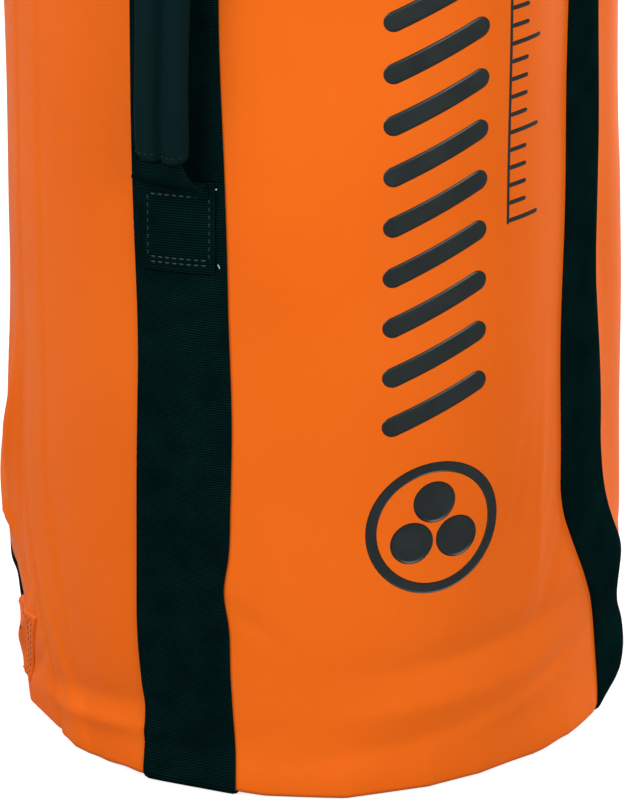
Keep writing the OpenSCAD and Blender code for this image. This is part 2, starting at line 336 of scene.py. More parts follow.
def webbing_on_wall(name, fn, s_list, u_count, t, off0, material, rib_amount=0.16):
    """Webbing along fn(across, s, off), which gives points on the surface it lies on."""
    s = np.asarray(s_list, float)
    u = np.concatenate([[-1, -0.985], np.linspace(-0.95, 0.95, u_count), [0.985, 1]])
    uu, ss = np.meshgrid(u, s)
    top = off0 + t + rib(ss, rib_amount) + edge_round(uu)
    outer = fn(uu, ss, top)
    inner = fn(uu, ss, np.full_like(uu, off0))
    uv = np.stack([uu * STRAP_W / 2 * MM, ss * MM], -1)
    return slab(name, outer, inner, uv, material)


def ribbon(name, path, face, widths, t, material, ribs=True, u_count=9, step=0.33, round_edge=0.45):
    """Webbing along a path: face is the direction its outer face looks at each path point."""
    path = np.asarray(path, float)
    d = np.concatenate([[0], np.cumsum(np.linalg.norm(np.diff(path, axis=0), axis=1))])
    n = max(int(d[-1] / step), 2) if ribs else max(int(d[-1] / 3.0), 2)
    v = np.linspace(0, d[-1], n)
    mid = np.stack([np.interp(v, d, path[:, k]) for k in range(3)], -1)
    out = np.stack([np.interp(v, d, np.asarray(face, float)[:, k]) for k in range(3)], -1)
    w = np.interp(v, d, np.broadcast_to(widths, len(d)))
    along = unit(np.gradient(mid, axis=0))
    out = unit(out - along * np.sum(out * along, -1, keepdims=True))
    side = np.cross(along, out)
    u = np.concatenate([[-1, -0.97], np.linspace(-0.9, 0.9, u_count), [0.97, 1]])
    uu, vv = np.meshgrid(u, v)
    top = t / 2 + (rib(vv) if ribs else 0) + edge_round(uu, round_edge)
    low = -t / 2 - (rib(vv) if ribs else 0) - edge_round(uu, round_edge)
    at = mid[:, None] + side[:, None] * (uu * w[:, None] / 2)[..., None]
    outer = at + out[:, None] * top[..., None]
    inner = at + out[:, None] * low[..., None]
    uv = np.stack([uu * w[:, None] / 2 * MM, vv * MM], -1)
    return slab(name, outer, inner, uv, material)


def curve_points(points, count=60):
    """A smooth line through a few points."""
    p = np.asarray(points, float)
    t = np.linspace(0, len(p) - 1, count)
    i = np.clip(t.astype(int), 0, len(p) - 2)
    f = (t - i)[:, None]
    ext = np.concatenate([[2 * p[0] - p[1]], p, [2 * p[-1] - p[-2]]])
    a, b, c, d = (ext[i + k] for k in range(4))
    return 0.5 * (2 * b + (c - a) * f + (2 * a - 5 * b + 4 * c - d) * f ** 2
                  + (3 * b - a - 3 * c + d) * f ** 3)


def stitches(name, centres, along, out, material, length=2.6, width=0.75, height=0.5):
    """A row of thread stitches: a small pillow at each centre."""
    ring, rings = 6, 5
    t = np.linspace(-1, 1, rings)
    a = np.arange(ring) * 2 * math.pi / ring
    prof = np.sqrt(np.maximum(1 - t ** 4, 0.02))
    pts, faces = [], []
    centres, along, out = (np.asarray(x, float) for x in (centres, along, out))
    side = unit(np.cross(out, along))
    for c, l, o, sd in zip(centres, unit(along), unit(out), side):
        first = len(pts) * ring * rings
        block = (c + l * (t * length / 2)[:, None, None]
                 + sd * (width / 2 * prof[:, None] * np.cos(a))[..., None]
                 + o * (height / 2 * prof[:, None] * np.sin(a))[..., None])
        pts.append(block.reshape(-1, 3))
        faces.append(grid_faces(rings, ring, first, close_u=True))
    ob = add_mesh(name, np.concatenate(pts), np.concatenate(faces), None, material)
    bm = bmesh.new()
    bm.from_mesh(ob.data)
    bmesh.ops.holes_fill(bm, edges=bm.edges, sides=ring)
    bmesh.ops.recalc_face_normals(bm, faces=bm.faces)
    bm.to_mesh(ob.data)
    bm.free()
    return ob


def stitch_line(fn, start, end, pitch=3.6):
    """Centres, directions and normals of stitches from start to end in fn's own two coordinates."""
    a, b = fn(*start), fn(*end)
    n = max(int(np.linalg.norm(b - a) / pitch), 1)
    k = (np.arange(n) + 0.5) / n
    c = np.array([fn(start[0] + (end[0] - start[0]) * f, start[1] + (end[1] - start[1]) * f) for f in k])
    e = 0.01
    d = np.array([fn(start[0] + (end[0] - start[0]) * (f + e), start[1] + (end[1] - start[1]) * (f + e))
                  for f in k]) - c
    out = c.copy()
    out[:, 2] = 0
    return c, unit(d), unit(out)


def stitch_rows(name, fn, lines, material, **size):
    rows = [stitch_line(fn, a, b) for a, b in lines]
    return stitches(name, *(np.concatenate([r[k] for r in rows]) for k in range(3)), material, **size)


# ---- materials ----

def new_material(name, colour, rough, specular=0.5):
    """A material, its node tree and its shader's inputs."""
    m = bpy.data.materials.new(name)
    m.use_nodes = True
    shader = m.node_tree.nodes["Principled BSDF"].inputs
    shader["Base Color"].default_value = (*colour, 1)
    shader["Roughness"].default_value = rough
    shader["Specular IOR Level"].default_value = specular
    return m, m.node_tree, shader


def add_node(tree, kind, feeds=(), **values):
    """Adds a node, fed by (input, socket) pairs, and returns its outputs."""
    n = tree.nodes.new("ShaderNode" + kind)
    for key, value in values.items():
        if key in n.inputs:
            n.inputs[key].default_value = value
        else:
            setattr(n, key, value)
    for key, source in feeds:
        tree.links.new(source, n.inputs[key])
    return n.outputs


def object_space(tree):
    return add_node(tree, "TexCoord")["Object"]


def flat_space(tree, degrees=0.0):
    """The UV map, which is in metres along the piece, turned by an angle."""
    uv = add_node(tree, "UVMap")["UV"]
    if not degrees:
        return uv
    return add_node(tree, "Mapping", [("Vector", uv)], Rotation=(0, 0, math.radians(degrees)))["Vector"]


def texture(tree, kind, vector, **values):
    return add_node(tree, "Tex" + kind, [("Vector", vector)], **values)["Fac"]


def combine(tree, operation, a, b):
    return add_node(tree, "Math", [(0, a), (1, b)], operation=operation)["Value"]


def bump(tree, height, strength, distance, under=None):
    """The normal that a height gives, on top of another normal if there is one."""
    feeds = [("Height", height)] + ([] if under is None else [("Normal", under)])
    return add_node(tree, "Bump", feeds, Strength=strength, Distance=distance)["Normal"]


def ramp(tree, source, low, high):
    """A colour between two (position, colour) stops."""
    n = tree.nodes.new("ShaderNodeValToRGB")
    for stop, (position, colour) in zip(n.color_ramp.elements, (low, high)):
        stop.position = position
        stop.color = (*colour, 1)
    tree.links.new(source, n.inputs["Fac"])
    return n.outputs["Color"]


def grey_ramp(tree, source, low, high):
    return ramp(tree, source, *((position, (value,) * 3) for position, value in (low, high)))


def feed(tree, shader, colour, normal, rough=None):
    tree.links.new(colour, shader["Base Color"])
    tree.links.new(normal, shader["Normal"])
    if rough is not None:
        tree.links.new(rough, shader["Roughness"])


def tarpaulin():
    """Coated fabric: smooth and half glossy, with the scrim's fine diagonal weave just showing."""
    m, tree, shader = new_material("tarpaulin_orange", (0.84, 0.142, 0.006), 0.40, 0.13)
    at, uv = object_space(tree), flat_space(tree, 38)
    shades = texture(tree, "Noise", at, Scale=9.0, Detail=4.0)
    colour = ramp(tree, shades, (0.30, (0.82, 0.134, 0.005)), (0.70, (0.87, 0.150, 0.007)))
    threads = [texture(tree, "Wave", uv, Scale=230.0, Distortion=0.4, bands_direction=axis) for axis in "XY"]
    grain = texture(tree, "Noise", at, Scale=650.0, Detail=3.0)
    weave = bump(tree, combine(tree, "ADD", *threads), 0.10, 0.0003)
    scuffs = texture(tree, "Noise", at, Scale=38.0, Detail=6.0, Roughness=0.7)
    rough = grey_ramp(tree, scuffs, (0.35, 0.36), (0.75, 0.47))
    feed(tree, shader, colour, bump(tree, grain, 0.10, 0.0003, weave), rough)
    return m


def webbing():
    """Woven polyester: fine ribs across and threads along. The colour paints a highlight on each rib's crest
    and shade in its valleys, in step with the ribs' shape, over an uneven random tone.
    """
    dark, light = (0.0010, 0.0072, 0.0072), (0.0054, 0.0350, 0.0350)
    m, tree, shader = new_material("webbing_black", dark, 0.9, 0.0)
    uv = flat_space(tree)
    ribs = math.pi / 10 / (RIB_PITCH * MM)     # in step with rib()
    across = texture(tree, "Wave", uv, Scale=ribs, Distortion=0.25, bands_direction="Y")
    along = texture(tree, "Wave", uv, Scale=420.0, Distortion=0.8, bands_direction="X")
    weave = combine(tree, "MULTIPLY", across, along)
    patchy = texture(tree, "Noise", object_space(tree), Scale=70.0, Detail=4.0)
    shade = combine(tree, "MULTIPLY", weave, patchy)
    # painted light: the ribs' crests get a painted highlight and their valleys painted shade; the noise only
    # adds random tone
    colour = ramp(tree, shade, (0.0, tuple(c * 0.55 for c in dark)), (0.75, light))
    feed(tree, shader, colour, bump(tree, weave, 0.45, 0.0004))
    return m


def twill():
    """The sleeve's and pads' cover: a fine diagonal weave."""
    m, tree, shader = new_material("padding_twill", (0.003, 0.014, 0.015), 0.9, 0.03)
    weave = texture(tree, "Wave", flat_space(tree, 52), Scale=330.0, Distortion=1.0)
    colour = ramp(tree, weave, (0.1, (0.0016, 0.0085, 0.0095)), (0.9, (0.0042, 0.0190, 0.0200)))
    feed(tree, shader, colour, bump(tree, weave, 0.4, 0.0003))
    return m


def noisy(name, colour, rough, scale, height, metallic=0.0, spread=0.25):
    """A plain material whose shade, roughness and height all follow one noise."""
    m, tree, shader = new_material(name, colour, rough)
    shader["Metallic"].default_value = metallic
    noise = texture(tree, "Noise", object_space(tree), Scale=scale, Detail=5.0)
    dark, light = (tuple(min(c * k, 1) for c in colour) for k in (1 - spread, 1 + spread))
    feed(tree, shader, ramp(tree, noise, (0.3, dark), (0.7, light)), bump(tree, noise, height, 0.0004),
         grey_ramp(tree, noise, (0.3, rough * 0.8), (0.7, min(rough * 1.25, 1))))
    return m


TARP_M = tarpaulin()
WEB_M = webbing()
TWILL_M = twill()
PRINT_M = noisy("print_black", (0.0046, 0.0105, 0.0105), 0.36, 60.0, 0.03)
THREAD_M = noisy("thread_dark", (0.004, 0.014, 0.014), 0.7, 900.0, 0.2)
THREAD_GREY_M = noisy("thread_grey", (0.016, 0.036, 0.036), 0.7, 900.0, 0.2)
THREAD_WHITE_M = noisy("thread_end_pale", (0.42, 0.46, 0.45), 0.7, 900.0, 0.2)
# the orange thread is darker than the tarpaulin's orange: painted shade standing in for the shadow along the
# stitch rows
THREAD_ORANGE_SHADED_M = noisy("thread_orange_painted_shade", (0.42, 0.075, 0.008), 0.6, 900.0, 0.2)
STEEL_M = noisy("steel_plated", (0.60, 0.61, 0.62), 0.26, 240.0, 0.05, 1.0, 0.06)
EYELET_M = noisy("eyelet_nickel", (0.50, 0.50, 0.49), 0.30, 240.0, 0.05, 1.0, 0.08)
PLASTIC_M = noisy("moulded_black", (0.010, 0.012, 0.012), 0.42, 1500.0, 0.10)
SHEET_M = noisy("base_sheet", (0.016, 0.017, 0.017), 0.65, 500.0, 0.25)


# ---- the shell ----

def cut_eyelet_holes(ob):
    cutters = []
    for a in EYELET_AZ:
        bpy.ops.mesh.primitive_cylinder_add(vertices=40, radius=EYELET_HOLE_R * MM, depth=40 * MM)
        c = bpy.context.object
        c.location = polar(a, BAG_R, EYELET_Z) * MM
        c.rotation_euler = (math.radians(90), 0, math.radians(a))
        cutters.append(c)
    cutter = join("hole_cutter", cutters)
    cut = ob.modifiers.new("holes", "BOOLEAN")
    cut.operation = "DIFFERENCE"
    cut.solver = "EXACT"
    cut.object = cutter
    bpy.context.view_layer.objects.active = ob
    bpy.ops.object.select_all(action="DESELECT")
    ob.select_set(True)
    bpy.ops.object.modifier_apply(modifier="holes")
    bpy.data.objects.remove(cutter)


def make_wall():
    """The outside, the rolled rim, the hem and the inside, all one closed skin."""
    az = np.concatenate([np.arange(SEAM_AZ, SEAM_AZ + 0.3, 0.08),
                         np.arange(SEAM_AZ + 0.5, SEAM_AZ + 359.9, 0.75)])
    foot_s, hem_z = EDGE_Z - EDGE_ARC, RIM_Z - HEM_DEPTH
    prof = [(s, 0.0) for s in np.linspace(foot_s, EDGE_Z, 13)[:-1]]
    prof += [(s, 0.0) for s in np.arange(EDGE_Z, RIM_Z - 1.2, 2.6)]
    prof += [(RIM_Z - 1.2, 0.0), (RIM_Z - 0.45, -0.1), (RIM_Z, -0.75), (RIM_Z, -1.35), (RIM_Z - 0.45, -2.0),
             (RIM_Z - 1.2, -2.1)]
    prof += [(s, -2.1) for s in np.arange(RIM_Z - 4, hem_z, -5.0)]
    prof += [(hem_z, -2.05), (hem_z - 0.5, -1.2)]
    prof += [(s, -TARP) for s in np.arange(hem_z - 1.5, 12.0, -6.0)]
    prof += [(EDGE_Z - 2, -TARP), (foot_s, -TARP)]
    s, off = np.array(prof).T
    aa, ss = np.meshgrid(az, s)
    aa = aa + seam_shift(ss) * bell(turn(aa - SEAM_AZ), 0, 16)
    uv = np.stack([np.radians(aa - SEAM_AZ) * BAG_R * MM, ss * MM], -1)
    ob = add_mesh("wall", wall(aa, ss, off[:, None] + 0 * aa), loop_faces(*aa.shape), uv, TARP_M)
    cut_eyelet_holes(ob)
    place(ob, "bag", ["body_wall", "rim_hem"])


def disc(name, rings, material, az_count=120, follow=False):
    """A plate from (radius, height) pairs, closed at its middle; its rim may follow the wall's foot."""
    az = np.arange(az_count) * 360 / az_count
    r, z = np.array(rings, float).T[:, :, None]
    near = smooth(r, 105, 142) if follow else 0
    pts = polar(az, r + near * (wall_radius(az, 3.0) - BAG_R), z + near * (foot(az) - WALL_FOOT))
    last = (len(rings) - 1) * az_count
    faces = grid_faces(len(rings), az_count, close_u=True).tolist()
    faces += [list(range(az_count))[::-1], list(range(last, last + az_count))]
    flat = pts.reshape(-1, 3)
    return add_mesh(name, flat, faces, flat[:, :2] * MM, material)


def make_base():
    rim = BAG_R - EDGE_R
    base = disc("base_skin", [(1.0, 3.0), (60, 2.9), (110, 2.4), (rim - 6, 2.15), (rim + 1.2, 2.2),
                              (rim + 1.0, 3.4), (rim - 8, 3.5), (100, 3.9), (1.0, 4.1)], TARP_M, follow=True)
    place(base, "bag", ["base_panel"])
    sheet = disc("base_sheet", [(1.0, 4.6), (140, 4.6), (142.0, 5.4), (142.0, 7.0), (140.5, 7.7),
                                (1.0, 7.8)], SHEET_M)
    place(sheet, "bag", ["base_reinforcement"])


# ---- load straps ----

def load_strap(name, az0, az1):
    """One strap without its run across the base: up one side and up the other, with a folded loop at each
    top.
    """
    parts = []
    for az in (az0, az1):
        s = np.arange(EDGE_Z - EDGE_ARC - 27, RING_Z - 1, RIB_PITCH / 4)
        parts.append(webbing_on_wall(name, lambda u, q, o, a=az: strap_point(a, u, q, o), s, 13,
                                     STRAP_T, 0.12, WEB_M))
        parts.append(fold_loop(name, az))
    return parts


def fold_loop(name, az):
    """The strap's end: round the ring's bar and back down over itself."""
    r0, zc = RING_BAR_R, RING_Z
    loop = 2.5 + 0.35 + STRAP_T / 2
    leg = BAG_R + 0.2 + STRAP_T / 2
    back = leg + STRAP_T + 0.15
    line = [(leg, zc - 8), (leg + 0.2, zc - 3.5), (r0 - loop * 0.86, zc + loop * 0.5), (r0, zc + loop),
            (r0 + loop * 0.86, zc + loop * 0.45), (r0 + loop * 0.9, zc - loop * 0.45),
            (r0 + 0.8, zc - loop * 1.05), (back + 0.5, zc - 7.5), (back, zc - 14), (back - 0.1, zc - 32)]
    rz = curve_points([(r, 0, z) for r, z in line], 80)
    path = polar(az, rz[:, 0], rz[:, 2])
    d = unit(np.gradient(rz, axis=0))
    face_r, face_z = d[:, 2], -d[:, 0]
    face = polar(az, -face_r, -face_z)
    return ribbon(name, path, -face, STRAP_W, STRAP_T, WEB_M)


def under_run(name, az, step):
    """The strap's run under the base, between two pairs of edges, lifted by step over the other strap."""
    x = np.arange(-128, 128.01, RIB_PITCH / 4)
    ends = [sum(strap_edges(e, np.array(-16.0))) / 2 for e in (az, az + 180)]
    lift = 0.15 + step * (1 - smooth(np.abs(x), STRAP_W / 2 + 2, STRAP_W / 2 + 9))
    a = math.radians(az)
    out = np.array([math.sin(a), -math.cos(a), 0])
    side = np.array([math.cos(a), math.sin(a), 0])
    aside = -ends[1] + (ends[0] + ends[1]) * (x + 128) / 256
    path = x[:, None] * out + aside[:, None] * side + np.array([0, 0, 1.0]) * (lift + STRAP_T / 2)[:, None]
    face = np.tile([0, 0, -1.0], (len(x), 1))
    return ribbon(name, path, face, STRAP_W, STRAP_T, WEB_M, step=RIB_PITCH / 4)


def make_load_straps():
    for name, node, az, step in (("strap_front_back", "load_strap_front_back", 0, STRAP_T + 0.15),
                                 ("strap_left_right", "load_strap_left_right", 90, 0)):
        ob = join(name, load_strap(name, az, az + 180) + [under_run(name, az, step)])
        place(ob, "bag", [node])
        for end in (az, az + 180):
            def point(x, z, a=end):
                return polar(a + math.degrees(x / 155.4), BAG_R + 0.2 + 2 * STRAP_T + 0.35, z)

            e, high, low = 20, RING_Z - 12, RING_Z - 27
            lines = [((-e, high), (e, high)), ((-e, low), (e, low)), ((-e, high), (-e, low)),
                     ((e, high), (e, low)), ((-e, high), (e, low)), ((e, high), (-e, low))]
            place(stitch_rows("strap_stitches_%d" % end, point, lines, THREAD_M), "bag")


# ---- carry handle ----

HANDLE_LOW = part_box("handle_anchor_lower")[0].z / MM
PATCH_H = 47.0
HANDLE_MID = (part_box("handle_sleeve")[0].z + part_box("handle_sleeve")[1].z) / 2 / MM
SLEEVE_HALF = (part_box("handle_sleeve")[1].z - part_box("handle_sleeve")[0].z) / 2 / MM - 3.6
GRIP_R = 170.0
GRIP_SAG = 7.0
LOBE_R = 6.7
PATCH_W = 36.8
PATCH_TURN = 0.095                   # the patches are sewn on a little askew


def grip_line(z):
    """The grip's middle: sideways offset and radius at height z."""
    k = (z - HANDLE_MID) / SLEEVE_HALF
    low = smooth(-k, 0.0, 1.1)
    return 3.2 - 4.0 * low, GRIP_R - GRIP_SAG * k ** 2 + 1.0 * low


def lobe_height(x):
    """Half the sleeve's depth at x: two round lobes."""
    return LOBE_R * np.sqrt(np.maximum(1 - ((np.abs(x) - LOBE_R) / LOBE_R) ** 2, 0.0))


def make_sleeve():
    """Two soft lobes under one cover, with a valley between them and closed, turned-in ends."""
    n, rows = 56, 120
    z = np.linspace(HANDLE_MID - SLEEVE_HALF, HANDLE_MID + SLEEVE_HALF, rows)
    a = np.arange(n) * 2 * math.pi / n
    x = np.cos(a) * 2 * LOBE_R
    waist = LOBE_R * 0.34 * (1 - smooth(np.abs(x), 1.0, 3.0))
    y = np.sign(np.sin(a)) * np.maximum(lobe_height(x), waist)
    end = np.minimum(z - z[0], z[-1] - z)[:, None]
    zz = z[:, None]
    tuck = 1 - 0.16 * (1 - smooth(end, 0, 3.2)) - 0.05 * (1 - smooth(end, 0, 12))
    wobble = 1 + 0.02 * np.sin(zz / 9.0) + 0.012 * np.sin(zz / 4.1 + 1)
    side, r = grip_line(zz)
    pts = np.stack(np.broadcast_arrays(side + x * tuck * (1 + 0.01 * np.sin(zz / 13.0)),
                                       -(r + y * tuck * wobble), zz), -1)
    # ends drawn in towards the webbing that leaves them
    faces = grid_faces(rows, n, close_u=True).tolist()
    i = np.arange(n)
    j = (i + 1) % n
    extra = []
    for row, sign in ((0, -1), (rows - 1, 1)):
        first, start = row * n, rows * n + len(extra)
        mid = pts[row].mean(0)
        extra.extend(mid + (pts[row] - mid) * 0.72 + np.array([0, 0, -sign * 1.6]))
        faces += np.stack([first + i, first + j, start + j, start + i], -1)[:, ::sign].tolist()
        faces.append((start + i)[::sign].tolist())
    around = np.concatenate([[0], np.cumsum(np.hypot(np.diff(x), np.diff(y)))])
    uv = np.zeros((rows * n + len(extra), 2))
    uv[:rows * n] = np.stack([np.tile(around, rows), np.repeat(z, n)], -1) * MM
    ob = add_mesh("handle_sleeve_cover", np.concatenate([pts.reshape(-1, 3), extra]), faces, uv, TWILL_M)
    place(ob, "handle_grip", ["handle_sleeve"])
    for k, zz in enumerate((z[0] + 4.5, z[-1] - 4.5)):
        sleeve_hem(k, zz)


def sleeve_hem(k, z):
    """A row of stitches over the front of both lobes."""
    side, r = grip_line(z)
    x = np.linspace(-2 * LOBE_R + 1.6, 2 * LOBE_R - 1.6, 9)
    x = x[np.abs(x) > 1.2]
    c = np.stack([side + x * 0.97, -(r + lobe_height(x) * 0.97), np.full_like(x, z)], -1)
    along = np.tile([1.0, 0, 0], (len(x), 1))
    out = np.stack([np.sign(x) * (np.abs(x) - LOBE_R) / LOBE_R, -np.ones_like(x), 0 * x], -1)
    place(stitches("sleeve_hem_stitches_%d" % k, c, along, out, THREAD_M, 1.8, 0.5, 0.4),
          "handle_grip")


def on_front_strap(x, z, off, up=1):
    """A point off the front load strap's face; the handle's patches are sewn on there askew."""
    az = np.degrees((x + 1.5) / 152.0)
    return polar(az, wall_radius(az, z) + 0.3 + STRAP_T + off, z + up * PATCH_TURN * x)


def handle_height(z, up):
    """Heights are worked out for the lower end (up = 1), and the upper end (up = -1) mirrors them."""
    return z if up > 0 else 2 * HANDLE_MID - z


def handle_patch(which, up):
    s = np.arange(0, PATCH_H + 0.01, RIB_PITCH / 4)
    uu, ss = np.meshgrid(np.concatenate([[-1, -0.975], np.linspace(-0.93, 0.93, 11), [0.975, 1]]), s)
    curl = 0.5 * bell(ss, 0, 2.0) + 0.35 * bell(np.abs(uu), 1, 0.08)
    thick = 1.5 + rib(ss) + edge_round(uu, 0.4) - 0.5 * bell(ss, 0, 0.8) + curl
    x, z = uu * PATCH_W / 2, handle_height(HANDLE_LOW + ss, up)
    grids = on_front_strap(x, z, thick, up), on_front_strap(x, z, 0 * x, up), np.stack([x * MM, ss * MM], -1)
    patch = slab("handle_patch_" + which, *(g[::up] for g in grids), WEB_M)
    place(patch, "bag", ["handle_anchor_" + which])


def handle_neck(which, up):
    """The webbing's fold: from the patch's inner edge outwards, and on into the sleeve."""
    skin, top, z_in = BAG_R + 0.3 + STRAP_T, HANDLE_LOW + PATCH_H, HANDLE_MID - SLEEVE_HALF
    lean, sleeve_r = grip_line(HANDLE_MID - up * SLEEVE_HALF)
    lean = lean if up > 0 else 0.0
    line = [(skin + 0.9, 0, top - 7), (skin + 1.1, 0, top - 2), (skin + 3.4, 0.3 * lean, top + 0.6),
            (skin + 7.0, 0.5 * lean, top - 0.2), (sleeve_r - 1.0, 0.8 * lean, top + 3.8),
            (sleeve_r + 0.6, lean, top + 9.5), (sleeve_r, lean, z_in + 1), (sleeve_r, lean, z_in + 10)]
    p = curve_points(line, 90)
    d = unit(np.gradient(p, axis=0))
    path = np.stack([p[:, 1] - 0.8, -p[:, 0], handle_height(p[:, 2], up)], -1)
    face = np.stack([0 * d[:, 0], -d[:, 2], -d[:, 0] * up], -1)
    widths = PATCH_W - 0.4 - (PATCH_W - 22.5) * smooth(np.linspace(0, 1, len(p)), 0.42, 0.86)
    neck = ribbon("handle_neck_" + which, path[::up], face[::up], widths[::up], 1.5, WEB_M)
    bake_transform(neck)


def patch_stitches(which, up):
    """A row near the patch's inner end, two near its outer end and one down each side."""
    def surface(x, z):
        return on_front_strap(np.array(x), np.array(handle_height(z, up)), 1.55, up)

    e, low, top = 15.0, HANDLE_LOW + 7, HANDLE_LOW + PATCH_H - 8
    rows = [((-e, z), (e, z)) for z in (top, low, low - 2.6)]
    sides = [((x, low), (x, top)) for x in (-e - 1, e + 1)]
    place(stitch_rows("patch_stitches_" + which, surface, rows, THREAD_GREY_M, width=0.85), "bag")
    place(stitch_rows("patch_side_stitches_" + which, surface, sides, THREAD_M), "bag")


def make_handle():
    make_sleeve()
    for which, up in (("lower", 1), ("upper", -1)):
        handle_patch(which, up)
        handle_neck(which, up)
        patch_stitches(which, up)
    # the webbing inside the sleeve, which shows at its two mouths
    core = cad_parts["handle_core"]
    core.data.materials.clear()
    core.data.materials.append(WEB_M)
    # two loose ends of thread
    ends = ((20.5, HANDLE_LOW + 4, 1.6, -3.4), (19.2, HANDLE_LOW + PATCH_H - 4, 1.0, 1.2))
    for k, (x, z, dx, dz) in enumerate(ends):
        c = [on_front_strap(np.array(x), np.array(z), 0.7)]
        place(stitches("thread_end_%d" % k, c, [[dx, 0, dz]], [[0.1, -1, 0]], THREAD_WHITE_M,
                       2.6 - 1.4 * k, 0.8, 0.7), "bag")


# ---- printed marks ----

PRINT_AZ = 47.8
PRINT_T = 0.15


def on_print(x, z, off):
    az = PRINT_AZ + np.degrees(x / BAG_R)
    return polar(az, wall_radius(az, z) + off, z)


def printed(name, x, z):
    """A thin skin of ink over the wall, from a grid of flat positions."""
    return slab(name, on_print(x, z, PRINT_T), on_print(x, z, 0.02), None, PRINT_M)


def bar_grid(x0, z0, x1, z1, width, n=26):
    """A bar with round ends, as a grid that runs from end to end."""
    a, b = np.array([x0, z0], float), np.array([x1, z1], float)
    d = (b - a) / np.linalg.norm(b - a)
    side = np.array([-d[1], d[0]])
    length = np.linalg.norm(b - a)
    h = width / 2
    t = np.concatenate([-h * np.cos(np.linspace(0, math.pi / 2, 7)), np.linspace(0, length, n)[1:-1],
                        length + h * np.sin(np.linspace(0, math.pi / 2, 7))])
    over = np.maximum(0, np.maximum(-t, t - length))
    half = np.sqrt(np.maximum(h * h - over ** 2, (0.03 * h) ** 2))
    w = np.linspace(-1, 1, 7)
    pts = a + t[:, None, None] * d + (half[:, None] * w)[..., None] * side
    return pts[..., 0], pts[..., 1]


def printed_ring(x0, z0, r_in, r_out, count=72, rings=6):
    """A printed ring, or a disc where r_in is 0."""
    a = np.arange(count) * 2 * math.pi / count
    r = np.linspace(max(r_in, 0.3), r_out, rings)[:, None]
    x, z = x0 + r * np.cos(a), z0 + r * np.sin(a)
    pts = np.concatenate([on_print(x, z, off).reshape(-1, 3) for off in (PRINT_T, 0.02)])
    n, i = rings * count, np.arange(count)
    j = (i + 1) % count
    outer = (rings - 1) * count
    faces = [grid_faces(rings, count, close_u=True), grid_faces(rings, count, n, close_u=True, flip=True),
             np.stack([outer + j, outer + i, outer + i + n, outer + j + n], -1)]
    if r_in > 0:
        faces.append(np.stack([j + n, i + n, i, j], -1))
    faces = np.concatenate(faces).tolist()
    if r_in == 0:
        faces += [i[::-1].tolist(), (i + n).tolist()]
    return add_mesh("rope_mark", pts, faces, None, PRINT_M)


def make_print():
    # a stylised laid rope: slanted strands, one above another
    low, high, pitch = 197.0, 548.0, 25.8
    marks = [printed("rope_mark", *bar_grid(-21.5, z, 21.5, z + 17.0, 10.4))
             for z in np.arange(low, high, pitch)]
    # emblem: a rope's end, three strands inside a ring
    zc, ring = 141.0, 34.5
    marks.append(printed_ring(0.0, zc, ring - 5.4, ring))
    for a in (math.radians(90 + 120 * k) for k in range(3)):
        marks.append(printed_ring(13.4 * math.cos(a), zc + 13.4 * math.sin(a), 0, 10.8))
    # a plain filling scale beside it
    for k, z in enumerate(np.arange(292.0, 545.0, 9.0)):
        marks.append(printed("rope_mark", *bar_grid(41.0, z, 58.5 if k % 5 == 0 else 50.0, z, 2.2, 8)))
    marks.append(printed("rope_mark", *bar_grid(39.5, 291.0, 39.5, 543.0, 1.5, 90)))
    place(join("printed_marks", marks), "bag")


# ---- mouth ----

def revolve(name, profile, material, count=40):
    """A ring about the local Y axis from a closed (radius, outward) profile, in mm."""
    a = np.arange(count) * 2 * math.pi / count
    r, out = np.array(profile, float).T[:, :, None]
    pts = np.stack([r * np.cos(a), -out + 0 * a, r * np.sin(a)], -1)
    return add_mesh(name, pts, loop_faces(len(profile), count), None, material)


def make_eyelets():
    rim = [(5.0, -3.8), (5.0, 0.6), (5.3, 1.35), (6.2, 1.75), (7.6, 1.55), (9.0, 0.95), (9.8, 0.5),
           (10.0, 0.25), (9.8, 0.06), (6.0, 0.06), (6.0, -3.8)]
    washer = [(6.1, -3.75), (9.6, -3.75), (10.0, -3.45), (9.9, -3.0), (9.0, -2.65), (6.1, -2.55)]
    for name, prof, node in (("eyelet_ring", rim, "eyelets"), ("eyelet_back", washer, "eyelet_washers")):
        made = []
        for a in EYELET_AZ:
            o = revolve(name, prof, EYELET_M)
            o.rotation_euler = (0, 0, math.radians(a))
            o.location = polar(a, float(wall_radius(a, EYELET_Z)), EYELET_Z) * MM
            made.append(o)
        ob = join(name, made)
        bpy.ops.object.transform_apply(location=True, rotation=True, scale=True)
        place(ob, "bag", [node])


def make_rim_trim():
    """Two rows of stitches hold the hem."""
    for k, z in enumerate((RIM_Z - 41.0, RIM_Z - 5.0)):
        az = np.arange(0, 360, 1.5)
        az = az[(np.abs(turn(az * 4) / 4) > 10.5)]
        c = polar(az, wall_radius(az, z) + 0.15, z)
        out = polar(az, 1.0, 0 * az)
        along = np.cross(np.tile([0, 0, 1.0], (len(az), 1)), out)
        place(stitches("hem_stitches_%d" % k, c, along, out, THREAD_ORANGE_SHADED_M), "bag")


def make_rings():
    for k in ("front", "right", "back", "left"):
        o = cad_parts["lift_ring_" + k]
        o.data.materials.clear()
        o.data.materials.append(STEEL_M)
        o.data.polygons.foreach_set("use_smooth", [True] * len(o.data.polygons))


# ---- harness ----

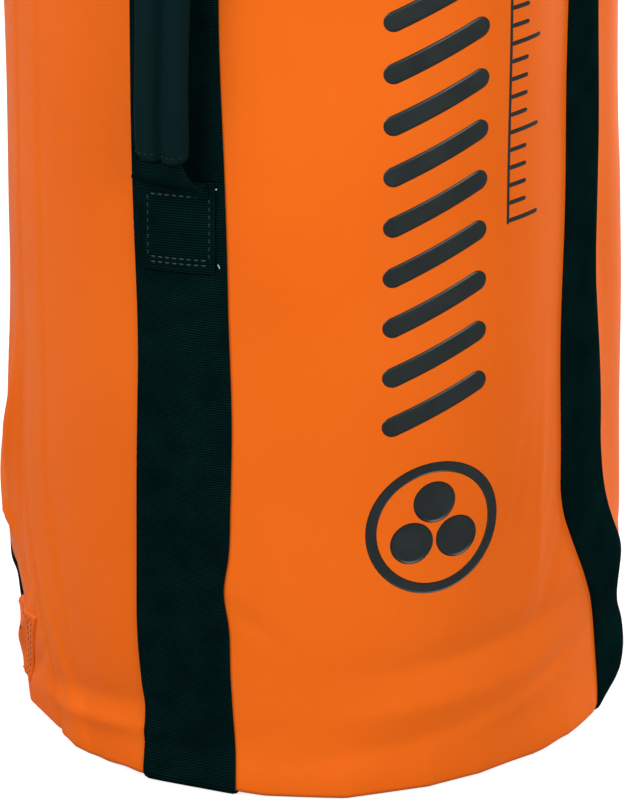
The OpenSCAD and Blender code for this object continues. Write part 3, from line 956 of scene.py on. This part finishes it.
PAD_W, PAD_T = 60.0, 10.0
PAD_TOP, PAD_LOW = 605.0, 260.0
PAD_MID, PAD_HALF = (PAD_TOP + PAD_LOW) / 2, (PAD_TOP - PAD_LOW) / 2
PAD_SAG, PAD_END_R = 40.0, 158.0
PAD_BEND = (PAD_HALF ** 2 + PAD_SAG ** 2) / (2 * PAD_SAG)
PAD_SPAN = math.degrees(math.asin(PAD_HALF / PAD_BEND))
PAD_CENTRE = PAD_BEND * math.cos(math.radians(PAD_SPAN)) - PAD_END_R
PAD_TILT, PAD_ANGLE = 5.5, 20.0
WEB_W, WEB_T = 25.0, 1.5
STRAP_LOW = 39.0                     # the lower straps' ends, under their anchor patches
WEB_BEND = PAD_BEND + PAD_T / 2 + 0.1 + WEB_T / 2
BAR_SPAN = PAD_SPAN + 2
BUCKLE_PITCH, BUCKLE_BAR = 12.0, 1.7


def from_pad(side, p, vector=False):
    """A point (or direction) modelled on the -Y side, put in a shoulder strap's place."""
    x, y, z = np.moveaxis(np.asarray(p, float), -1, 0)
    middle = 0 if vector else PAD_MID
    a, b = math.radians(HARNESS_AZ + side * PAD_ANGLE), math.radians(-side * PAD_TILT)
    z = z - middle
    x, z = x * math.cos(b) + z * math.sin(b), -x * math.sin(b) + z * math.cos(b) + middle
    return np.stack([x * math.cos(a) - y * math.sin(a), x * math.sin(a) + y * math.cos(a), z], -1)


def on_arc(x, angle, radius):
    """A point x across, at an angle above the arc's middle, at that radius from its axis."""
    a = np.radians(angle)
    return np.stack(np.broadcast_arrays(x, PAD_CENTRE - radius * np.cos(a), PAD_MID + radius * np.sin(a)), -1)


BAR = on_arc(0.0, -BAR_SPAN, WEB_BEND)


def pad_half_width(v):
    """Half the pad's width at v, from -1 at its lower end to 1 at its top."""
    return (PAD_W / 2 - 2) * (1 - 0.10 * smooth(-v, 0.72, 1.0) - 0.05 * smooth(v, 0.8, 1.0))


def make_pad(side, which):
    """A shoulder pad: crowned foam in a twill cover, bound with tape round its edge."""
    u = np.concatenate([np.linspace(-1, -0.86, 5), np.linspace(-0.8, 0.8, 15), np.linspace(0.86, 1, 5)])
    uu, vv = np.meshgrid(u, np.linspace(-1, 1, 110))
    x, angle = uu * pad_half_width(vv), vv * (PAD_SPAN - 0.35)
    edge = np.minimum((1 - np.abs(uu)) * PAD_W / 2, (1 - np.abs(vv)) * PAD_HALF)
    crown = 0.30 + 0.70 * np.sqrt(np.clip(1 - (1 - np.clip(edge / 11, 0, 1)) ** 2, 0, 1))
    channel = 1 - 0.42 * bell(np.abs(x), 17.0, 1.8) * smooth(edge, 3, 12)
    ripple = 1 + 0.05 * np.sin(vv * 34) * bell(np.abs(uu), 0.8, 0.25)
    half = PAD_T / 2 * crown * channel * ripple
    outer, inner = (from_pad(side, on_arc(x, angle, PAD_BEND + h)) for h in (half, -half))
    uv = np.stack([x * MM, angle * math.radians(1) * PAD_BEND * MM], -1)
    ob = slab("shoulder_pad_cover_" + which, outer, inner, uv, TWILL_M)
    place(ob, "bag", ["shoulder_pad_" + which])
    pad_binding(side, which)


def pad_binding(side, which):
    """Tape round the pad's outline: a flattened tube."""
    ends, sides = np.linspace(-0.93, 0.93, 16), np.linspace(-0.985, 0.985, 90)
    u = np.concatenate([ends, 1 + 0 * sides, -ends, -1 + 0 * sides])
    v = np.concatenate([-1 + 0 * ends, sides, 1 + 0 * ends, -sides])
    x, angle = u * pad_half_width(v), v * (PAD_SPAN - 0.35)
    mid = from_pad(side, on_arc(x, angle, PAD_BEND))
    up = from_pad(side, on_arc(x, angle, PAD_BEND + 1)) - mid
    along = unit(np.roll(mid, -1, axis=0) - np.roll(mid, 1, axis=0))
    out = unit(np.cross(along, up))
    a = np.arange(12) * 2 * math.pi / 12
    rise = 2.3 * np.sign(np.sin(a)) * np.abs(np.sin(a)) ** 0.8
    ring = (mid[:, None] + out[:, None] * (1.7 * np.cos(a))[:, None] + unit(up)[:, None] * rise[:, None])
    place(add_mesh("pad_binding_" + which, ring, loop_faces(len(mid), 12), None, WEB_M), "bag")


def pad_strap(name, side, points, count):
    """Harness webbing along points that lie in the shoulder strap's own middle plane."""
    pts = curve_points(points, count)
    d = unit(np.gradient(pts, axis=0))
    face = np.stack([0 * d[:, 0], d[:, 2], -d[:, 1]], -1)
    return ribbon(name, from_pad(side, pts), from_pad(side, face, True), WEB_W, WEB_T, WEB_M)


def from_bar(b, offsets):
    """Points beside a buckle's bar from (outward, up) offsets; outward is away from the bag."""
    return [b + [0, -out, up] for out, up in offsets]


def make_pad_webbing(side, which):
    """Webbing sewn down the pad, then round the ladder lock's top bar and back on itself."""
    face_r = PAD_BEND + PAD_T / 2 * 0.98
    ang = np.linspace(PAD_SPAN + 0.5, -PAD_SPAN - 0.2, 80)
    r = BUCKLE_BAR + 0.25 + WEB_T / 2
    round_bar = from_bar(BAR, [(r * 0.6, 5.0), (r, 0.8), (r * 0.7, -r * 0.75), (0, -r),
                               (-r * 0.75, -r * 0.7), (-r, 0.6), (-r * 0.75, 5.5)])
    end = on_arc(0.0, -PAD_SPAN + 1.2, PAD_BEND - PAD_T / 2 - 0.2)
    line = np.concatenate([on_arc(0 * ang, ang, face_r + WEB_T / 2)[::6], round_bar, [end]])
    place(pad_strap("pad_webbing_" + which, side, line, 420), "bag", ["pad_webbing_" + which])

    def surface(x, s):
        return from_pad(side, on_arc(np.array(x), np.array(s), face_r + WEB_T + 0.05))

    e = WEB_W / 2 - 2.5
    lines = [((x, -PAD_SPAN + 0.5), (x, PAD_SPAN)) for x in (-e, e)]
    for low in (-PAD_SPAN + 1.0, -8.0, 8.0, PAD_SPAN - 3.4):
        top = low + 2.6
        lines += [((-e, low), (e, top)), ((e, low), (-e, top)), ((-e, low), (e, low)), ((-e, top), (e, top))]
    place(stitch_rows("pad_stitches_" + which, surface, lines, THREAD_GREY_M), "bag")


def rounded_box(name, size, centre, bevel=0.9):
    bpy.ops.mesh.primitive_cube_add(size=1)
    o = bpy.context.object
    o.name = name
    o.data.transform(Matrix.Diagonal((*(Vector(size) * MM), 1)))
    b = o.modifiers.new("b", "BEVEL")
    b.width = bevel * MM
    b.segments = 4
    bpy.ops.object.modifier_apply(modifier="b")
    o.location = (Vector(BAR) + Vector(centre)) * MM
    o.data.materials.append(PLASTIC_M)
    o.data.polygons.foreach_set("use_smooth", [True] * len(o.data.polygons))
    return o


def points_of(ob):
    co = np.zeros(len(ob.data.vertices) * 3)
    ob.data.vertices.foreach_get("co", co)
    return co.reshape(-1, 3) / MM


def move_points(ob, p):
    ob.data.vertices.foreach_set("co", (p * MM).ravel())
    ob.data.update()


def make_ladder_lock(side, which):
    """A moulded three-bar buckle with a turned-out lift tab; boxes are placed from its top bar."""
    w, h = 34.0, 2 * BUCKLE_PITCH + 6
    made = [rounded_box("rail", (3.6, 4.2, h), (sx * (w - 3.6) / 2, 0, -BUCKLE_PITCH), 1.4) for sx in (-1, 1)]
    for k in range(3):
        size = (w - 4, 2 * BUCKLE_BAR, 2 * BUCKLE_BAR + (1.4 if k == 2 else 0))
        made.append(rounded_box("bar", size, (0, 0, -k * BUCKLE_PITCH), 1.3))
    made.append(rounded_box("tab", (22, 1.8, 7), (0, -3.2, -2 * BUCKLE_PITCH - 4.4), 0.8))
    ob = join("ladder_lock_frame_" + which, made)
    bpy.ops.object.transform_apply(location=True, rotation=True, scale=True)
    move_points(ob, from_pad(side, points_of(ob)))
    place(ob, "ladder_lock_" + which, ["ladder_lock_" + which])


def over_strap(az):
    """How far a strap on the wall is lifted where it crosses a load strap."""
    return 2.1 * bell(np.abs(turn(az * 4) / 4), 0, 11)


def settle(ob, low, high):
    """Lays a strap made by ribbon() flat on the wall below low, fading out up to high."""
    p = points_of(ob)
    az = np.degrees(np.arctan2(p[:, 0], -p[:, 1]))
    r = np.hypot(p[:, 0], p[:, 1])
    outer = np.arange(len(p)) < len(p) // 2
    flat = wall_radius(az, p[:, 2]) + over_strap(az) + np.where(outer, 0.2 + WEB_T, 0.15)
    new_r = r + (flat - r) * (1 - smooth(p[:, 2], low, high))
    move_points(ob, polar(az, new_r, p[:, 2]))


def make_adjuster(side, which):
    """The lower strap: from its patch on the wall up to the ladder lock."""
    u = np.linspace(0, 1, 40)
    az = HARNESS_AZ + side * (78 - (78 - 26.8) * (1 - (1 - u) ** 2))
    z = STRAP_LOW + (BAR[2] - 19 - STRAP_LOW) * u
    lie = polar(az, wall_radius(az, z) + 1.5 + over_strap(az), z)
    start = lie[0] - (lie[1] - lie[0]) * 2.2
    near = from_pad(side, BAR + [0, 3.4, -BUCKLE_PITCH - 9])
    back = from_pad(side, BAR + [0, 3.0, -BUCKLE_PITCH])
    pts = curve_points(np.concatenate([[start], lie[:-3], [near, back]]), 260)
    ob = ribbon("adjuster_strap_" + which, pts, pts * [1, 1, 0], WEB_W, WEB_T, WEB_M)
    settle(ob, 105.0, 150.0)
    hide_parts("adjuster_strap_" + which)
    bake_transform(ob)


def make_tail(side, which):
    """The lower strap's other end: round the middle bar and down as a free tail."""
    r = BUCKLE_BAR + 0.2 + WEB_T / 2
    line = from_bar(BAR - [0, 0, BUCKLE_PITCH],
                    [(-r, -4.0), (-r, 0.2), (-r * 0.7, r * 0.72), (0, r), (r * 0.75, r * 0.68), (r, -0.5),
                     (r + 0.8, -8), (r + 2.2, -16), (r + 3.4, -45), (r + 2.4, -75), (r + 4.0, -104)])
    tail = pad_strap("adjuster_tail_" + which, side, line, 240)
    place(tail, "ladder_lock_" + which, ["adjuster_tail_" + which])


def make_anchor_patch(side, which):
    """A welded and stitched corner of tarpaulin over the lower strap's end."""
    def lump(x, z):
        """The strap's end under the patch."""
        aside = (z - STRAP_LOW + 0.67 * x) * 0.83
        return 1.9 * (1 - smooth(np.abs(aside), 12.5, 18)) * (1 - smooth(x, 15, 23))

    def at(x, z, off, strap=1):
        """A point x mm away from the shoulder straps, off the wall or off the strap's end."""
        x, z = np.array(x), np.array(z)
        az = HARNESS_AZ + side * (78 + np.degrees(x / BAG_R))
        return polar(az, wall_radius(az, z) + off + strap * lump(x, z), z)

    uu, vv = np.meshgrid(np.linspace(0, 1, 40), np.linspace(0, 1, 40))
    z, left, right = 10 + 42 * vv, -24 + 36 * vv ** 1.3, 27 + 13 * vv
    x = left + (right - left) * uu
    fade = smooth(np.minimum(np.minimum(uu, 1 - uu), np.minimum(vv, 1 - vv)), 0, 0.03)
    grids = at(x, z, 0.25 + 0.8 * fade), at(x, z, 0.02, 0), np.stack([side * x * MM, z * MM], -1)
    ob = slab("anchor_cover_" + which, *(g[:, ::side] for g in grids), TARP_M)
    place(ob, "bag", ["anchor_patch_" + which])
    lines = [((-20, 13), (24, 13)), ((14, 49), (36, 49)), ((25, 14), (36, 48)), ((21, 14), (32, 48)),
             ((-19, 14), (-6, 31)), ((-6, 31), (12, 49))]
    seams = stitch_rows("anchor_stitches_" + which, lambda x, z: at(x, z, 1.15), lines, THREAD_ORANGE_SHADED_M)
    place(seams, "bag")


def make_yoke():
    """The cross strap that both shoulder straps are sewn to."""
    low, high, e = PAD_TOP - 31, PAD_TOP + 3, 70
    s = np.arange(PAD_TOP - 35, PAD_TOP + 12, RIB_PITCH / 4)

    def fn(u, q, off):
        return wall(HARNESS_AZ + np.degrees(u * 74 / BAG_R), q, off)

    def surface(x, z):
        return wall(HARNESS_AZ + np.degrees(x / BAG_R), np.array(z), 2.75)

    web = webbing_on_wall("harness_yoke_web", fn, s, 41, 2.5, 0.15, WEB_M)
    place(web, "bag", ["harness_yoke"])
    lines = [((-e, z), (e, z)) for z in (high + 4, high, low)]
    lines += [((x, low), (x, high + 4)) for x in (-e, e)]
    lines += [((x, low), (0, high)) for x in (-e, e)]
    place(stitch_rows("yoke_stitches", surface, lines, THREAD_GREY_M), "bag")


def make_tie_loop():
    low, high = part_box("rope_tie_loop")
    a = np.linspace(-1.32, 1.32, 40)
    r, z = 21.0, (low.z + high.z) / 2 / MM
    path = np.stack([r * np.sin(a), BAG_R - TARP - r * np.cos(a) * 0.99, np.full_like(a, z)], -1)
    face = np.stack([np.sin(a), -np.cos(a), 0 * a], -1)
    place(ribbon("tie_loop", path, face, 20.0, 1.5, WEB_M), "bag", ["rope_tie_loop"])


def make_harness():
    for side, which in ((1, "left"), (-1, "right")):
        make_pad(side, which)
        make_pad_webbing(side, which)
        make_ladder_lock(side, which)
        make_adjuster(side, which)
        make_tail(side, which)
        make_anchor_patch(side, which)
    make_yoke()


# ---- surroundings ----

def make_camera():
    az, pitch = math.radians(25.5), math.radians(24.459)
    distance, height, aside = 3.0, 1.5091, 0.0015
    focal_px, long_side_px, sensor = 6602.1, 800.0, 36.0
    cam = bpy.data.cameras.new("camera")
    cam.lens = focal_px / long_side_px * sensor
    cam.sensor_width = sensor
    cam.clip_start, cam.clip_end = 0.1, 60.0
    ob = bpy.data.objects.new("camera", cam)
    right = Vector((math.cos(az), math.sin(az), 0))
    ob.location = Vector((distance * math.sin(az), -distance * math.cos(az), height)) - right * aside
    forward = Vector((-math.sin(az) * math.cos(pitch), math.cos(az) * math.cos(pitch), -math.sin(pitch)))
    ob.rotation_euler = forward.to_track_quat("-Z", "Y").to_euler()
    bpy.context.scene.collection.objects.link(ob)
    bpy.context.scene.camera = ob
    bpy.context.scene.view_settings.view_transform = "Standard"


def area_light(name, az, elevation, distance, size, power, target=(0, 0, 0.25), size_y=None):
    a, e = math.radians(az), math.radians(elevation)
    data = bpy.data.lights.new(name, "AREA")
    data.shape = "RECTANGLE"
    data.size, data.size_y = size, size_y or size
    data.energy = power
    ob = bpy.data.objects.new(name, data)
    t = Vector(target)
    ob.location = t + distance * Vector((math.sin(a) * math.cos(e), -math.cos(a) * math.cos(e), math.sin(e)))
    ob.rotation_euler = (t - ob.location).to_track_quat("-Z", "Y").to_euler()
    bpy.context.scene.collection.objects.link(ob)


def seen_only(nodes, links, plain, camera, output):
    """Mixes two shaders: camera is what the camera sees directly, plain what lights the bag."""
    path = nodes.new("ShaderNodeLightPath")
    mix = nodes.new("ShaderNodeMixShader")
    links.new(path.outputs["Is Camera Ray"], mix.inputs["Fac"])
    links.new(plain.outputs[0], mix.inputs[1])
    links.new(camera.outputs[0], mix.inputs[2])
    links.new(mix.outputs[0], output.inputs["Surface"])


def make_studio():
    world = bpy.data.worlds.new("studio")
    world.use_nodes = True
    n, l = world.node_tree.nodes, world.node_tree.links
    dim, white = n["Background"], n.new("ShaderNodeBackground")
    for node, strength in ((dim, 0.18), (white, 1.0)):
        node.inputs["Color"].default_value = (1, 1, 1, 1)
        node.inputs["Strength"].default_value = strength
    seen_only(n, l, dim, white, n["World Output"])
    bpy.context.scene.world = world
    area_light("key", -16, 30, 2.2, 1.2, 29)
    area_light("fill", 64, 25, 2.6, 1.5, 40)
    area_light("edge_right", 166, 3, 1.8, 1.6, 37)
    area_light("strip_near", 148, 4, 1.8, 0.25, 9, size_y=1.6)
    area_light("strip_far", 184, 4, 1.8, 0.25, 10, size_y=1.6)
    area_light("back_left", 212, 8, 1.7, 1.0, 7, target=(0, 0, 0.05))
    area_light("back_right", 270, 30, 2.4, 1.4, 22)
    make_floor()


def make_floor():
    """A floor that looks white to the camera and plain grey to everything it lights."""
    m = bpy.data.materials.new("floor_white")
    m.use_nodes = True
    n, l = m.node_tree.nodes, m.node_tree.links
    p = n["Principled BSDF"]
    looks = {"Base Color": (0.45, 0.45, 0.45, 1), "Roughness": 1.0, "Specular IOR Level": 0.0,
             "Emission Color": (1, 1, 1, 1), "Emission Strength": 0.78}
    for socket, value in looks.items():
        p.inputs[socket].default_value = value
    grey = n.new("ShaderNodeBsdfDiffuse")
    grey.inputs["Color"].default_value = (0.35, 0.35, 0.35, 1)
    seen_only(n, l, grey, p, n["Material Output"])
    corners = [(x, y, 0) for x, y in ((-6000, -6000), (6000, -6000), (6000, 6000), (-6000, 6000))]
    add_mesh("floor", corners, [(0, 1, 2, 3)], None, m, shade=False)


make_camera()
make_wall()
make_base()
make_load_straps()
make_handle()
make_print()
make_eyelets()
make_rim_trim()
make_rings()
make_harness()
make_tie_loop()
make_studio()
